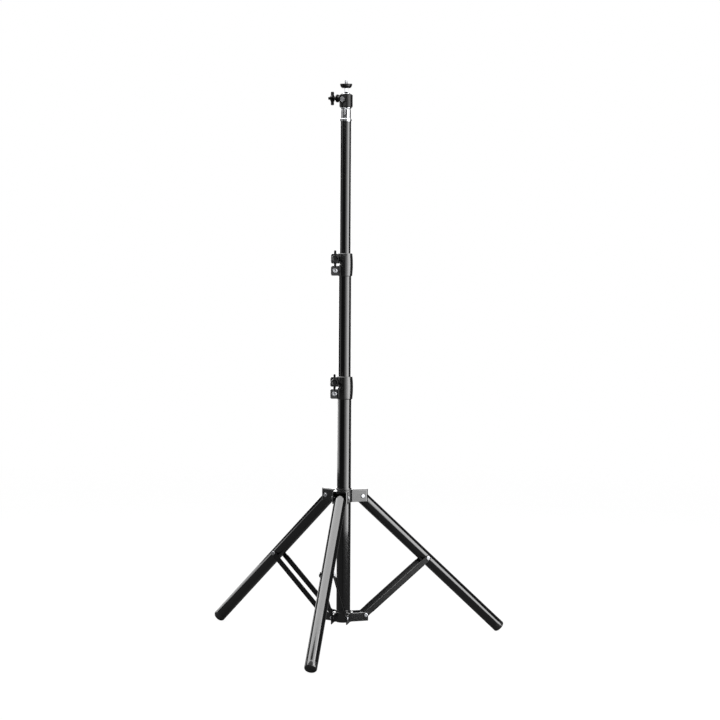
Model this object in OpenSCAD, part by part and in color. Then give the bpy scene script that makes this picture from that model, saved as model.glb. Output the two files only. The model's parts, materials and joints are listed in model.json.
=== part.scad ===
// Folding tripod stand with a telescopic mast and a small ball head on top.
// Millimetres, +Z up, one leg along -Y. The origin lies on the floor at the centre of the footprint,
// so the mast's own axis stands at [0, column_y].

/* [Legs] */
// Outer diameter of a leg tube
leg_d = 22; // [18:0.5:26]
// Length of a leg from its pivot pin to the end of its foot
leg_len = 374.5; // [320:0.5:420]
// Angle of an opened leg from the vertical
leg_spread = 47.2; // [40:0.1:52]
// Distance of a leg's pivot pin from the mast's axis
leg_pivot_r = 31; // [30:0.5:36]
// Radius of the rounded upper end of a leg
leg_top_edge = 8; // [4:0.5:8]
// Height of a leg's upper end above its pin
leg_top_rise = 5.2; // [5:0.1:6]
// Length of the upper end plug that stays inside the leg tube
leg_plug_len = 20; // [12:1:40]
// Wall of the end plug between its pin hole and the leg tube
leg_eye_wall = 0.5; // [0.4:0.1:1.5]
// Length of the foot cap that shows below the leg tube
foot_len = 12; // [8:1:24]
// Length of the foot cap's plug inside the leg tube
foot_plug_len = 16; // [8:1:30]
// Radius of the foot cap's lower edge
foot_edge = 2.5; // [1:0.25:4]

/* [Braces] */
// Distance along a leg from its pivot pin to the brace rivets
brace_at = 174; // [150:1:190]
// Width of a brace bar
brace_w = 10; // [8:0.5:12]
// Sheet thickness of a brace bar
brace_t = 1.2; // [1:0.1:1.6]
// Height of the turned-out lips along a brace bar
brace_lip = 1; // [0.5:0.1:1.2]
// Length of a bar's flat end, where it has no lips
brace_flat_end = 14; // [12:1:24]
// Distance of a brace's lower pivot from the mast's axis
brace_pivot_r = 38; // [36:0.5:42]
// Height of a brace's lower pivot above the floor
brace_pivot_z = 46; // [42:1:60]

/* [Hubs] */
// Wall between the mast and the channels of both hubs
sleeve_wall = 2.1; // [1.8:0.1:2.5]
// How far the hubs' round core reaches past the corners between the arms
core_fill = 1.4; // [0.5:0.25:3]
// How far the lower hub's core stands above its cheeks
core_step = 1; // [0.5:0.25:3]
// Wall of the rims that stand on both hubs round the mast
rim_wall = 1.5; // [1:0.1:1.7]
// Inner width of an arm of the upper hub
arm_inner_w = 23; // [23:0.5:27]
// Wall of an upper hub arm's cheeks
arm_wall = 2.8; // [2:0.1:4]
// Thickness of the plate that closes an upper hub arm at the top
arm_roof = 3; // [2:0.25:4]
// Length of an upper hub arm beyond its pin
arm_tip = 11; // [8:0.5:14]
// Height of the upper hub's roof above its pins
arm_above = 12.9; // [12.9:0.1:16]
// Depth of the upper hub below its pins
arm_below = 9.8; // [7:0.1:14]
// Radius of the upper hub's outer top edges
arm_edge = 3; // [1:0.5:4]
// Radius of an upper hub arm's outer corners, seen from above
arm_corner = 5; // [2:0.5:7]
// Height of the rim on top of the upper hub
hub_rim_h = 2.5; // [1:0.5:6]
// Wall of a lower hub arm's cheeks
cheek_wall = 2; // [1.5:0.1:3]
// Length of a lower hub arm beyond its pivots
cheek_tip = 4.5; // [4:0.5:8]
// Height of the lower hub above its pivots
cheek_above = 5; // [4:0.5:8]
// Depth of the lower hub below its pivots
cheek_below = 10.2; // [6:0.1:14]
// Height of the collar on top of the lower hub
lower_collar_h = 5; // [2:0.5:12]

/* [Mast] */
// Outer diameter of the bottom tube
bottom_tube_d = 25; // [25:0.5:26]
// Outer diameter of the middle tube
middle_tube_d = 22; // [21:0.5:22]
// Outer diameter of the top tube
top_tube_d = 19; // [16:0.5:19]
// Wall of every tube
tube_wall = 1; // [0.8:0.05:1.1]
// Height of the mast's lower end above the floor
mast_foot_z = 34; // [30:1:35]
// Length of the bottom tube
bottom_tube_len = 420; // [400:1:460]
// Length of the middle tube
middle_tube_len = 415; // [380:1:430]
// Length of the top tube
top_tube_len = 430; // [400:1:440]
// Length of the middle tube that shows between the two clamps
middle_show = 178.5; // [120:0.5:220]
// Length of the top tube that shows above the upper clamp
top_show = 233.4; // [150:0.1:240]
// Thickness of the flange of the plug in the mast's lower end
plug_flange = 2; // [1:0.5:4]
// Length of the plug inside the mast's lower end
plug_len = 14; // [8:1:24]

/* [Clamps] */
// Height of a mast clamp
clamp_h = 41; // [38:0.5:50]
// Wall of a mast clamp at mid height
clamp_wall = 3; // [2.5:0.1:4]
// How far a clamp's side bulges out between its ends
clamp_bulge = 1.3; // [0.5:0.1:1.5]
// Radius of the rounded ends of a clamp's barrel
clamp_edge = 1.5; // [0.5:0.1:1.7]
// Depth of the lower tube's seat in a clamp
clamp_seat = 20.5; // [18:0.5:24]
// Distance of the clamp screws from the mast's axis
ear_r = 18.4; // [18:0.1:22]
// How far the ears reach beyond the clamp screws
ear_tip = 7.1; // [6:0.1:9]
// Height of each pair of ears
ear_h = 17.4; // [15:0.1:18]
// Thickness of one ear
ear_t = 6; // [5:0.5:7]
// Width of the slit between two ears
ear_slit = 2; // [1:0.25:3]
// Radius of an ear's corners
ear_edge = 3; // [1:0.5:4]
// Angle of the clamps' ears round the mast from -X
clamp_turn = 11.8; // [-60:0.1:60]
// Distance of the ears from the clamp's ends
ear_inset = 1; // [0.5:0.25:2]
// Diameter of the clamp screws, rivets and pins
pin_d = 5; // [4:0.5:6]
// Diameter of a rivet's head
rivet_d = 8; // [7:0.5:9]
// Height of a rivet's head
rivet_h = 1.6; // [1:0.1:2]
// Diameter of a bolt's head, and of its nut over the corners
bolt_head_d = 9; // [8:0.5:10]
// Height of a bolt's head
bolt_head_h = 3; // [2:0.25:4]
// Thickness of a nut
nut_t = 4; // [3:0.25:5]

/* [Knobs] */
// Diameter of a wing knob's neck
knob_neck_d = 10; // [8:0.5:11]
// Length of a wing knob's neck
knob_neck_len = 9.5; // [9:0.5:14]
// Diameter of a wing knob's head
knob_head_d = 13; // [11:0.5:15]
// Height of a wing knob's head
knob_head_h = 11; // [8:0.5:14]
// Radius of the rounded edge of a wing knob's head
knob_head_edge = 2; // [1:0.25:3]
// Span of a wing knob from tip to tip
knob_span = 31; // [26:0.5:32]
// Thickness of a wing at its root
wing_root_t = 5; // [3:0.25:6]
// Thickness of a wing at its tip
wing_tip_t = 1.6; // [1:0.1:3]
// How far the wings' tips stand above the knob's head, and dip below it beside the head
wing_rise = 1; // [0.5:0.25:2]
// Wall of the hub's boss round the lock knob's neck
boss_wall = 1; // [0.5:0.25:2]
// How far the hub's boss stands out past its arms
boss_show = 1; // [0.5:0.25:3]
// Height of the hub's lock screw above the middle of the arms
hub_knob_rise = 3; // [0:0.25:4]
// Turn of the hub's lock knob about its screw
hub_knob_turn = 45; // [0:5:180]

/* [Ball head] */
// Diameter of the spigot's base
spigot_base_d = 21; // [20:0.1:24]
// Diameter of the spigot's shank
spigot_d = 17.4; // [14:0.1:18]
// Diameter of the spigot's collar, right under the ball head
spigot_collar_d = 20.4; // [18:0.1:21]
// Height of the straight bands round the spigot's collar and groove
spigot_band = 1; // [0.5:0.25:2]
// Height of the spigot from the tube's end to the ball head
spigot_h = 24; // [16:0.5:30]
// Length of the spigot's plug inside the top tube
spigot_plug_len = 14; // [8:1:24]
// Diameter of the ball head's housing
housing_d = 23.6; // [22.5:0.1:26]
// Height of the housing from the spigot to the ball's centre
housing_below = 19; // [16:0.5:24]
// Height of the housing's rim above the ball's centre
housing_above = 5.5; // [4:0.25:6]
// Height of the housing's conical lip
housing_lip_h = 2.2; // [1:0.1:3]
// Wall of that lip at its upper edge
housing_lip_wall = 0.6; // [0.4:0.1:1]
// Width of the bevel round the housing's lower end
housing_bevel = 1.6; // [0.5:0.1:2.5]
// Diameter of the ball
ball_d = 18.6; // [16:0.1:19]
// Diameter of the stem on the ball
stem_d = 6.4; // [5:0.1:7.5]
// Height of the underside of the head plate above the ball's centre
plate_z = 15.2; // [15:0.1:26]
// Diameter of the head plate
plate_d = 21.4; // [18:0.1:24]
// Diameter of the head plate's flat underside
plate_foot_d = 14; // [10:0.1:16]
// Thickness of the head plate
plate_t = 7.8; // [5:0.1:9]
// Height of the straight band round the head plate's upper edge
plate_band = 1.4; // [0.5:0.1:3]
// Diameter of the screw on the head plate
head_screw_d = 6.35; // [6.35:0.01:6.35]
// Length of the screw above the head plate
head_screw_len = 6; // [4:0.5:9]
// Diameter of the screw's plain shank inside the head plate
head_shank_d = 5; // [4:0.1:5.6]
// Diameter of the recess round the screw in the head plate
screw_recess_d = 8.4; // [7:0.1:12]
// Depth of the recess round the screw in the head plate
screw_recess = 0.8; // [0.4:0.1:2]
// Angle of the ball's lock screw round the mast from +X
lock_turn = 160; // [140:1:200]
// How far the lock screw's axis lies below the ball's centre
lock_drop = 2.5; // [0:0.1:4]
// Diameter of the housing's boss round the lock screw
lock_boss_d = 9.6; // [8:0.1:12]
// Distance of the lock knob's flange from the mast's axis
lock_flange_at = 16.5; // [16:0.1:20]
// Diameter of the lock knob's flange
lock_flange_d = 14.2; // [10:0.1:18]
// Thickness of the lock knob's flange
lock_flange_t = 2.2; // [1:0.1:3]
// Diameter of the lock knob's neck
lock_neck_d = 6.4; // [5.5:0.1:9]
// Distance of the lock knob's lobes from the mast's axis
lock_knob_at = 26; // [24:0.1:34]
// Diameter over the lock knob's lobes
lock_knob_d = 24.4; // [20:0.1:26]
// Thickness of the lock knob's lobes
lock_knob_t = 4; // [3:0.25:8]
// Radius of a lobe of the lock knob
lobe_r = 3.2; // [2:0.1:4]
// Number of lobes on the lock knob
lock_lobes = 4; // [3:1:6]
// Angle of the friction screw round the mast from +X
friction_turn = 250; // [230:1:300]
// How far the friction screw's axis lies below the ball's centre
friction_drop = 4.3; // [0:0.1:6]
// Diameter of the housing's boss round the friction screw
friction_boss_d = 13.6; // [11:0.1:15]
// Distance of that boss's face from the mast's axis
friction_boss_at = 13.6; // [13:0.1:16]
// Diameter of the friction screw's head
friction_screw_d = 9.6; // [6:0.1:10.5]
// Depth of the friction screw's head in its boss
friction_screw_t = 1.6; // [1:0.1:2.2]

/* [Fits] */
// Radial play of a shaft that turns or slides in a hole
run_gap = 0.1; // [0.05:0.01:0.1]
// Gap between flat faces that slide past each other
face_gap = 0.3; // [0.2:0.05:0.5]

/* [Hidden] */
$fn = 96;
LEGS = ["front", "right", "left"];
SIDES = [-1, 1];
SIDE_NAMES = ["left", "right"];
leg_step = 360 / len(LEGS);

leg_r = leg_d / 2;
leg_bore_r = leg_r - tube_wall;
pin_r = pin_d / 2;
bottom_r = bottom_tube_d / 2;
middle_r = middle_tube_d / 2;
top_r = top_tube_d / 2;

// The leg tube starts just past its pin, where the rounded end plug takes over.
leg_tube_from = pin_r + run_gap + leg_eye_wall;
leg_tube_to = leg_len - foot_len;
leg_pivot_z = (leg_len - foot_edge) * cos(leg_spread) + (leg_r - foot_edge) * sin(leg_spread) + foot_edge;

// How far the feet reach from the mast's axis, towards -Y and towards +Y.
foot_ring_r = leg_pivot_r + (leg_len - foot_edge) * sin(leg_spread);
reach_front = foot_ring_r + (leg_r - foot_edge) * cos(leg_spread) + foot_edge;
back_lean = sin(leg_spread) * cos(leg_step / 2);
reach_back = foot_ring_r * cos(leg_step / 2) + (leg_r - foot_edge) * sqrt(1 - back_lean * back_lean) + foot_edge;
column_y = (reach_front - reach_back) / 2;

// A brace runs from its pivot on the lower hub to its rivets on the leg.
brace_dr = leg_pivot_r + brace_at * sin(leg_spread) - brace_pivot_r;
brace_dz = leg_pivot_z - brace_at * cos(leg_spread) - brace_pivot_z;
brace_len = norm([brace_dr, brace_dz]);
brace_lean = atan2(brace_dr, brace_dz);
bar_in = leg_r + face_gap;
bar_out = bar_in + brace_t;
cheek_in = bar_out + face_gap;
cheek_out = cheek_in + cheek_wall;

channel_from = bottom_r + sleeve_wall;
// Radius of a hub's round core, which fills the corners between arms of half width w.
function core_r(w) = w / sin(leg_step / 2) + core_fill;
rim_r = bottom_r + rim_wall;
sleeve_bore_r = bottom_r + run_gap;
arm_out = arm_inner_w / 2 + arm_wall;
arm_len = leg_pivot_r + arm_tip;
arm_h = arm_below + arm_above;
upper_hub_z = leg_pivot_z - arm_below;
boss_r = knob_neck_d / 2 + boss_wall;
boss_end = (arm_out + boss_r * cos(leg_step / 2)) / sin(leg_step / 2) + boss_show;
hub_screw_z = leg_pivot_z + (arm_above - arm_below) / 2 + hub_knob_rise;

lower_hub_z = brace_pivot_z - cheek_below;
lower_hub_h = cheek_below + cheek_above;

// Heights up the mast, each worked out from the one below.
bottom_tube_z = mast_foot_z + plug_flange;
bottom_tube_top = bottom_tube_z + bottom_tube_len;
lower_clamp_z = bottom_tube_top - clamp_seat;
upper_clamp_z = lower_clamp_z + clamp_h + middle_show;
middle_tube_top = upper_clamp_z + clamp_seat;
top_tube_top = upper_clamp_z + clamp_h + top_show;
ball_z = top_tube_top + spigot_h + housing_below;

ear_half = ear_t + ear_slit / 2;
slot_h = clamp_h - 2 * (ear_h + ear_inset);
ear_screw_z = [ear_inset + ear_h / 2, clamp_h - ear_inset - ear_h / 2];
bolt_head_r = bolt_head_d / 2;
ball_r = ball_d / 2;
socket_r = ball_r + face_gap;
housing_r = housing_d / 2;
stem_r = stem_d / 2;

// General shapes

// Round bar on the floor of its own frame, with a rounded upper edge
module round_bar(r, h, edge) {
    rotate_extrude()
        union() {
            square([r - edge, h]);
            square([r, h - edge]);
            translate([r - edge, h - edge]) intersection() {
                circle(edge);
                square(edge);
            }
        }
}

// Open tube standing on the floor of its own frame
module pipe(r, wall, h) {
    difference() {
        cylinder(r = r, h = h);
        translate([0, 0, -1]) cylinder(r = r - wall, h = h + 2);
    }
}

// Rectangle with rounded corners, given by two opposite corners
module rounded_rect(low, high, edge) {
    size = high - low;
    translate(low) {
        translate([edge, 0]) square([size[0] - 2 * edge, size[1]]);
        translate([0, edge]) square([size[0], size[1] - 2 * edge]);
        for (x = [edge, size[0] - edge], y = [edge, size[1] - edge])
            translate([x, y]) circle(edge);
    }
}

// Cylinder along X, from x = a to x = b
module x_rod(r, a, b) {
    translate([a, 0, 0]) rotate([0, 90, 0]) cylinder(r = r, h = b - a);
}

// Domed rivet head whose flat side lies at x = 0 and which bulges towards +X
module rivet_head() {
    rotate([0, 90, 0])
        round_bar(rivet_d / 2, rivet_h, rivet_h * 0.8);
}

// Places the children round the mast, in the frame of one leg whose arm points along -Y
module at_leg(i) {
    translate([0, column_y, 0]) rotate([0, 0, i * leg_step]) children();
}

module at_column(z) {
    translate([0, column_y, z]) children();
}

// Legs

// Frame of an opened leg: its pin along X at the origin, its tube down along -Z
module along_leg(i) {
    at_leg(i) translate([0, -leg_pivot_r, leg_pivot_z]) rotate([-leg_spread, 0, 0]) children();
}

module leg_tube(i) {
    color("#17181a") along_leg(i)
        translate([0, 0, -leg_tube_to]) pipe(leg_r, tube_wall, leg_tube_to - leg_tube_from);
}

module leg_top(i) {
    top_h = leg_tube_from + leg_top_rise;
    color("#101113") along_leg(i) difference() {
        union() {
            translate([0, 0, -leg_tube_from]) round_bar(leg_r, top_h, min(leg_top_edge, top_h - 0.2));
            translate([0, 0, -leg_tube_from - leg_plug_len]) cylinder(r = leg_bore_r, h = leg_plug_len);
        }
        x_rod(pin_r + run_gap, -leg_r - 1, leg_r + 1);
    }
}

module foot(i) {
    color("#0c0c0d") along_leg(i) {
        translate([0, 0, -leg_tube_to]) rotate([180, 0, 0]) round_bar(leg_r, foot_len, foot_edge);
        translate([0, 0, -leg_tube_to]) cylinder(r = leg_bore_r, h = foot_plug_len);
    }
}

module leg_pin(i) {
    color("#c9ccd0") at_leg(i) translate([0, -leg_pivot_r, leg_pivot_z]) {
        x_rod(pin_r, -arm_out, arm_out);
        for (side = SIDES)
            translate([side * arm_out, 0, 0]) rotate([0, 0, side > 0 ? 0 : 180]) rivet_head();
    }
}

// Braces

// Frame of an opened brace: its lower pivot along X at the origin, its bars up along +Z
module along_brace(i) {
    at_leg(i) translate([0, -brace_pivot_r, brace_pivot_z]) rotate([brace_lean, 0, 0]) children();
}

// One pressed bar: flat eyes at both ends and turned-out lips between them
module brace_bar(i, side) {
    lip_len = brace_len - 2 * brace_flat_end;
    color("#1a1b1d") along_brace(i)
        mirror([side < 0 ? 1 : 0, 0, 0]) translate([bar_in, 0, 0]) {
            difference() {
                union() {
                    rotate([0, 90, 0]) cylinder(r = brace_w / 2, h = brace_t);
                    translate([0, 0, brace_len]) rotate([0, 90, 0]) cylinder(r = brace_w / 2, h = brace_t);
                    translate([0, -brace_w / 2, 0]) cube([brace_t, brace_w, brace_len]);
                }
                x_rod(pin_r + run_gap, -1, brace_t + 1);
                translate([0, 0, brace_len]) x_rod(pin_r, -1, brace_t + 1);
            }
            for (y = [-brace_w / 2, brace_w / 2 - brace_t])
                translate([0, y, brace_flat_end]) cube([brace_t + brace_lip, brace_t, lip_len]);
        }
}

// The two rivets at a brace's upper end, one in each bar
module brace_rivets(i) {
    color("#c9ccd0") along_brace(i) for (side = SIDES)
        translate([0, 0, brace_len]) mirror([side < 0 ? 1 : 0, 0, 0]) {
            x_rod(pin_r, bar_in, bar_out);
            translate([bar_out, 0, 0]) rivet_head();
        }
}

// The two pivots at a brace's lower end, one in each cheek of the lower hub
module brace_pivots(i) {
    color("#c9ccd0") at_leg(i) for (side = SIDES)
        translate([0, -brace_pivot_r, brace_pivot_z]) mirror([side < 0 ? 1 : 0, 0, 0]) {
            x_rod(pin_r, bar_in, cheek_out);
            translate([cheek_out, 0, 0]) rivet_head();
        }
}

// Hubs

// Cross-section of an upper hub arm, seen along the arm: a channel open at the bottom
module arm_section() {
    rounded_rect([-arm_out, 0], [arm_out, arm_h], arm_edge);
    translate([-arm_out, 0]) square([2 * arm_out, arm_h - arm_edge]);
}

// Blank of an upper hub arm, along -Y, with its outer corners rounded off
module upper_arm() {
    intersection() {
        rotate([90, 0, 0]) linear_extrude(arm_len) arm_section();
        linear_extrude(arm_h) rounded_rect([-arm_out, -arm_len], [arm_out, arm_len], arm_corner);
    }
}

// Slides on the bottom tube and carries the three legs
module upper_hub() {
    color("#1b1c1e") at_column(upper_hub_z) difference() {
        union() {
            cylinder(r = core_r(arm_out), h = arm_h);
            translate([0, 0, arm_h - arm_roof]) cylinder(r = rim_r, h = arm_roof + hub_rim_h);
            for (i = [0:len(LEGS) - 1]) rotate([0, 0, i * leg_step]) upper_arm();
            translate([0, 0, hub_screw_z - upper_hub_z]) rotate([-90, 0, 0]) cylinder(r = boss_r, h = boss_end);
        }
        translate([0, 0, -1]) cylinder(r = sleeve_bore_r, h = arm_h + hub_rim_h + 2);
        for (i = [0:len(LEGS) - 1]) rotate([0, 0, i * leg_step]) {
            translate([-arm_inner_w / 2, -arm_len - 1, -1])
                cube([arm_inner_w, arm_len + 1 - channel_from, arm_h + 1 - arm_roof]);
            translate([0, -leg_pivot_r, arm_below]) x_rod(pin_r, -arm_out - 1, arm_out + 1);
        }
        translate([0, 0, hub_screw_z - upper_hub_z]) rotate([-90, 0, 0])
            cylinder(r = pin_r + run_gap, h = boss_end + 1);
    }
}

// Fixed to the foot of the mast, with two cheeks for the braces of each leg
module lower_hub() {
    color("#1b1c1e") at_column(lower_hub_z) difference() {
        union() {
            cylinder(r = core_r(cheek_out), h = lower_hub_h + core_step);
            translate([0, 0, cheek_below]) cylinder(r = rim_r, h = cheek_above + lower_collar_h);
            for (i = [0:len(LEGS) - 1]) rotate([0, 0, i * leg_step])
                translate([-cheek_out, -brace_pivot_r - cheek_tip, 0])
                    cube([2 * cheek_out, brace_pivot_r + cheek_tip, lower_hub_h]);
        }
        translate([0, 0, -1]) cylinder(r = bottom_r, h = lower_hub_h + lower_collar_h + 2);
        for (i = [0:len(LEGS) - 1]) rotate([0, 0, i * leg_step]) {
            translate([-cheek_in, -brace_pivot_r - cheek_tip - 1, -1])
                cube([2 * cheek_in, brace_pivot_r + cheek_tip + 1 - channel_from, lower_hub_h + 2]);
            translate([0, -brace_pivot_r, cheek_below]) x_rod(pin_r, -cheek_out - 1, cheek_out + 1);
        }
    }
}

// Mast

module bottom_tube() {
    color("#131416") at_column(bottom_tube_z) pipe(bottom_r, tube_wall, bottom_tube_len);
}

module bottom_plug() {
    color("#101113") at_column(mast_foot_z) {
        cylinder(r = bottom_r, h = plug_flange);
        translate([0, 0, plug_flange]) cylinder(r = bottom_r - tube_wall, h = plug_len);
    }
}

module middle_tube() {
    color("#131416") at_column(middle_tube_top - middle_tube_len) pipe(middle_r, tube_wall, middle_tube_len);
}

module top_tube() {
    color("#131416") at_column(top_tube_top - top_tube_len) pipe(top_r, tube_wall, top_tube_len);
}

// Clamps

// Frame of a clamp on its lower tube: ears towards -X, their screws along Y
module at_clamp(z) {
    at_column(z) rotate([0, 0, clamp_turn]) children();
}

// Barrel-shaped blank of a clamp: a bulging side between two rounded ends
module clamp_barrel(r) {
    arc_r = (pow(clamp_h / 2, 2) + pow(clamp_bulge, 2)) / (2 * clamp_bulge);
    end_r = r - arc_r + sqrt(pow(arc_r, 2) - pow(clamp_h / 2 - clamp_edge, 2));
    rotate_extrude() {
        intersection() {
            translate([0, clamp_edge]) square([r, clamp_h - 2 * clamp_edge]);
            translate([r - arc_r, clamp_h / 2]) circle(arc_r, $fn = 720);
        }
        square([end_r - clamp_edge, clamp_h]);
        for (z = [clamp_edge, clamp_h - clamp_edge]) translate([end_r - clamp_edge, z]) circle(clamp_edge);
    }
}

// Clamp that is fixed to an outer tube and squeezes the tube that slides inside it
module clamp(outer_r, inner_r) {
    difference() {
        union() {
            clamp_barrel(outer_r + clamp_wall);
            for (z = ear_screw_z) translate([0, ear_half, z]) rotate([90, 0, 0])
                linear_extrude(2 * ear_half)
                    rounded_rect([-ear_r - ear_tip, -ear_h / 2], [-outer_r + ear_edge, ear_h / 2], ear_edge);
        }
        translate([0, 0, -1]) cylinder(r = outer_r, h = clamp_seat + 1);
        translate([0, 0, clamp_seat - 1]) cylinder(r = inner_r + run_gap, h = clamp_h + 2 - clamp_seat);
        translate([-ear_r - ear_tip - 1, -ear_slit / 2, -1])
            cube([ear_r + ear_tip + 1, ear_slit, clamp_h + 2]);
        translate([-ear_r - ear_tip - 1, -outer_r - clamp_wall - 1, (clamp_h - slot_h) / 2])
            cube([ear_r + ear_tip - outer_r / 3, 2 * (outer_r + clamp_wall + 1), slot_h]);
        translate([-ear_r, 0, ear_screw_z[0]]) rotate([90, 0, 0])
            cylinder(r = pin_r, h = 3 * ear_half, center = true);
        translate([-ear_r, 0, ear_screw_z[1]]) rotate([90, 0, 0])
            cylinder(r = pin_r + run_gap, h = 3 * ear_half, center = true);
    }
}

// Bolt that pinches a clamp onto its outer tube, with its nut behind
module clamp_bolt() {
    translate([-ear_r, -ear_half, ear_screw_z[0]]) rotate([-90, 0, 0]) {
        cylinder(r = pin_r, h = 2 * ear_half + nut_t);
        translate([0, 0, -bolt_head_h]) difference() {
            cylinder(r = bolt_head_r, h = bolt_head_h);
            translate([0, 0, -1]) cylinder(r = pin_r, h = bolt_head_h / 2 + 1, $fn = 6);
        }
        translate([0, 0, 2 * ear_half]) cylinder(r = bolt_head_r, h = nut_t, $fn = 6);
    }
}

module lower_clamp() {
    color("#141517") at_clamp(lower_clamp_z) clamp(bottom_r, middle_r);
}

module lower_clamp_bolt() {
    color("#c9ccd0") at_clamp(lower_clamp_z) clamp_bolt();
}

module upper_clamp() {
    color("#141517") at_clamp(upper_clamp_z) clamp(middle_r, top_r);
}

module upper_clamp_bolt() {
    color("#c9ccd0") at_clamp(upper_clamp_z) clamp_bolt();
}

// Knobs

// Wing knob along +Z, its neck standing on the face at z = 0, with a screw of the given length below
module wing_knob(screw_len) {
    head_z = knob_neck_len;
    top_z = head_z + knob_head_h;
    half = knob_span / 2;
    crest = half * 0.75;
    tip_z = head_z + knob_head_h / 2;
    translate([0, 0, -screw_len]) cylinder(r = pin_r, h = screw_len + face_gap);
    translate([0, 0, face_gap]) cylinder(r = knob_neck_d / 2, h = head_z - face_gap);
    translate([0, 0, head_z]) round_bar(knob_head_d / 2, knob_head_h, knob_head_edge);
    intersection() {
        rotate([90, 0, 0]) linear_extrude(wing_root_t, center = true)
            polygon([
                [0, head_z], [half, tip_z], [half, top_z + wing_rise],
                [crest, top_z - wing_rise], [0, top_z - 2 * wing_rise],
                [-crest, top_z - wing_rise], [-half, top_z + wing_rise], [-half, tip_z]
            ]);
        linear_extrude(2 * top_z)
            polygon([
                [half, -wing_tip_t / 2], [half, wing_tip_t / 2], [0, wing_root_t / 2],
                [-half, wing_tip_t / 2], [-half, -wing_tip_t / 2], [0, -wing_root_t / 2]
            ]);
    }
}

// Wing knob in the upper ears of a clamp, its wings upright
module clamp_knob() {
    translate([-ear_r, -ear_half, ear_screw_z[1]]) rotate([90, 0, 0]) rotate([0, 0, 90])
        wing_knob(2 * ear_half + nut_t);
}

module lower_clamp_knob() {
    color("#101113") at_clamp(lower_clamp_z) clamp_knob();
}

module upper_clamp_knob() {
    color("#101113") at_clamp(upper_clamp_z) clamp_knob();
}

// Wing knob behind the upper hub, its screw against the bottom tube
module hub_lock_knob() {
    color("#101113") at_column(hub_screw_z) translate([0, boss_end, 0]) rotate([-90, 0, 0])
        rotate([0, 0, hub_knob_turn]) wing_knob(boss_end - bottom_r - face_gap);
}

// Ball head

// Turned plug in the top tube: a flared base, a plain shank and a conical collar over a thin groove
module spigot() {
    base_r = spigot_base_d / 2;
    shank_r = spigot_d / 2;
    collar_r = spigot_collar_d / 2;
    flare = base_r - shank_r;
    base_h = 2 * (flare + spigot_band);
    collar_h = collar_r - shank_r + spigot_band;
    groove = spigot_band * 0.8;
    color("#d4d6da") at_column(top_tube_top) {
        rotate_extrude() difference() {
            union() {
                square([base_r, base_h]);
                square([shank_r, spigot_h]);
                polygon([
                    [0, spigot_h - collar_h], [shank_r, spigot_h - collar_h],
                    [collar_r, spigot_h - spigot_band], [collar_r, spigot_h], [0, spigot_h]
                ]);
            }
            translate([base_r, base_h]) circle(flare);
            translate([shank_r - groove, spigot_h - collar_h - 2 * groove]) square([2 * groove, groove]);
        }
        translate([0, 0, -spigot_plug_len]) cylinder(r = top_r - tube_wall, h = spigot_plug_len);
    }
}

// Frame of a screw in the ball head's housing, its axis along +X
module at_head_screw(turn, drop) {
    at_column(ball_z - drop) rotate([0, 0, turn]) children();
}

// Half outline of the housing: bevelled at its foot, with a conical lip that keeps the ball in
module housing_outline() {
    lip_r = sqrt(pow(socket_r, 2) - pow(housing_above, 2)) + housing_lip_wall;
    polygon([
        [0, -housing_below], [housing_r - housing_bevel, -housing_below],
        [housing_r, -housing_below + housing_bevel], [housing_r, housing_above - housing_lip_h],
        [lip_r, housing_above], [0, housing_above]
    ]);
}

// Cup that holds the ball, with the bosses of its lock screw and its friction screw
module ball_housing() {
    color("#26272a") difference() {
        union() {
            at_column(ball_z) rotate_extrude() housing_outline();
            at_head_screw(lock_turn, lock_drop) x_rod(lock_boss_d / 2, 0, lock_flange_at - face_gap);
            at_head_screw(friction_turn, friction_drop) x_rod(friction_boss_d / 2, 0, friction_boss_at);
        }
        at_column(ball_z) sphere(r = socket_r);
        at_head_screw(lock_turn, lock_drop) x_rod(pin_r + run_gap, 0, lock_flange_at + 1);
        at_head_screw(friction_turn, friction_drop)
            x_rod(friction_screw_d / 2, friction_boss_at - friction_screw_t, friction_boss_at + 1);
    }
}

// Slotted screw head that lies sunk in the housing's front boss
module friction_screw() {
    slot_w = friction_screw_d * 0.16;
    slot_depth = friction_screw_t * 0.6;
    sunk = friction_screw_t * 0.2;
    color("#c9ccd0") at_head_screw(friction_turn, friction_drop) difference() {
        x_rod(friction_screw_d / 2, friction_boss_at - friction_screw_t, friction_boss_at - sunk);
        translate([friction_boss_at - sunk - slot_depth, -friction_screw_d / 2 - 1, -slot_w / 2])
            cube([slot_depth + 1, friction_screw_d + 2, slot_w]);
    }
}

module ball() {
    color("#d4d6da") at_column(ball_z) sphere(r = ball_r);
}

// Lobed knob on a neck and a flange, with the screw that presses on the ball
module ball_lock_knob() {
    lobe_at = lock_knob_d / 2 - lobe_r;
    hub_r = lobe_at * 0.8;
    cap_h = 1.6;
    color("#101113") at_head_screw(lock_turn, lock_drop) {
        x_rod(pin_r, socket_r, lock_flange_at + lock_flange_t);
        x_rod(lock_flange_d / 2, lock_flange_at, lock_flange_at + lock_flange_t);
        x_rod(lock_neck_d / 2, lock_flange_at + lock_flange_t, lock_knob_at);
        translate([lock_knob_at, 0, 0]) rotate([0, 90, 0]) {
            linear_extrude(lock_knob_t) {
                circle(hub_r);
                for (k = [0:lock_lobes - 1]) rotate(k * 360 / lock_lobes) {
                    translate([lobe_at, 0]) circle(lobe_r);
                    translate([0, -lobe_r]) square([lobe_at, 2 * lobe_r]);
                }
            }
            translate([0, 0, lock_knob_t]) round_bar(hub_r * 0.8, cap_h, cap_h * 0.8);
        }
    }
}

// Stem that stands on the ball
module head_stem() {
    color("#d4d6da") at_column(ball_z) difference() {
        cylinder(r = stem_r, h = plate_z);
        sphere(r = socket_r);
    }
}

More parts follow.
